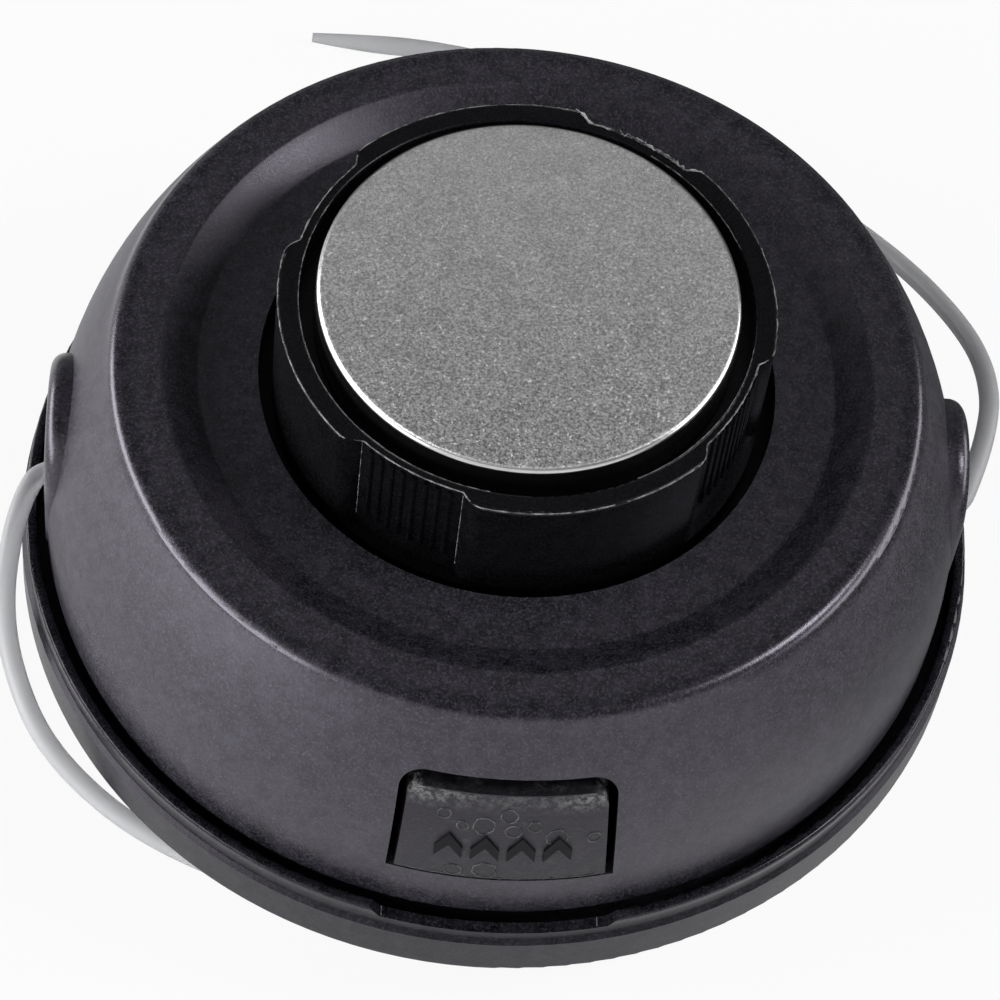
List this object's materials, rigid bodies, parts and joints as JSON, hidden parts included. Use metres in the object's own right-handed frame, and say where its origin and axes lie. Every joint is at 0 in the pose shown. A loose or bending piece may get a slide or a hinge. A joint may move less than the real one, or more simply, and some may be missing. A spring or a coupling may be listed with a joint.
{
  "type": "bump feed trimmer head",
  "caption": "Round bump feed head for a line trimmer: domed cover latched to a dished base, sprung spool, lobed bump knob with a steel cap, and trimmer line leaving through side outlets.",
  "frame": {"origin": "centre of the hub's drive face, on the spin axis, at the plane the head rests on", "axes": "+Z along the spin axis towards the bump knob, latches on -Y and +Y, line outlets on -X and +X"},
  "size_m": [0.1168, 0.1387, 0.0619],
  "materials": {
    "base_plastic": "satin black moulded nylon",
    "cover_plastic": "satin black moulded nylon with a fine grain",
    "latch_plastic": "satin black moulded nylon, mottled",
    "knob_plastic": "dark smooth moulded nylon with flash on its edges",
    "spool_plastic": "black moulded nylon",
    "cap_steel": "bead-blasted steel face with a polished edge",
    "plain_steel": "zinc plated",
    "eyelet_metal": "turned",
    "line_nylon": "translucent grey-white nylon line"
  },
  "bodies": {
    "housing": {"base_housing": "base_plastic", "drive_insert": "plain_steel", "cover": "cover_plastic", "eyelet_left": "eyelet_metal", "eyelet_right": "eyelet_metal", "feed_spring": "plain_steel", "spring_washer_lower": "plain_steel", "line_tail_left": "line_nylon", "line_tail_right": "line_nylon"},
    "spring_follower": {"spring_washer_upper": "plain_steel"},
    "spool_unit": {"spool": "spool_plastic", "line_winding_lower": "line_nylon", "line_winding_upper": "line_nylon", "bump_knob": "knob_plastic", "steel_cap": "cap_steel"},
    "front_latch": {"latch_front": "latch_plastic"},
    "rear_latch": {"latch_rear": "latch_plastic"}
  },
  "joints": [
    {"name": "knob_bump", "type": "slide", "parent": "housing", "child": "spring_follower", "axis": [0, 0, 1], "range_m": [-0.006, 0], "stiffness_N_per_m": 2500, "springref_m": 0.006, "deforming": ["feed_spring"]},
    {"name": "spool_turn", "type": "hinge", "parent": "spring_follower", "child": "spool_unit", "pos_m": [0, 0, 0], "axis": [0, 0, 1], "continuous": true},
    {"name": "latch_front_press", "type": "hinge", "parent": "housing", "child": "front_latch", "pos_m": [0, -0.0445, 0.0154], "axis": [-1, 0, 0], "range_deg": [0, 13], "stiffness_Nm_per_rad": 0.4, "springref_deg": -5.73},
    {"name": "latch_rear_press", "type": "hinge", "parent": "housing", "child": "rear_latch", "pos_m": [0, 0.0445, 0.0154], "axis": [1, 0, 0], "range_deg": [0, 13], "stiffness_Nm_per_rad": 0.4, "springref_deg": -5.73}
  ]
}
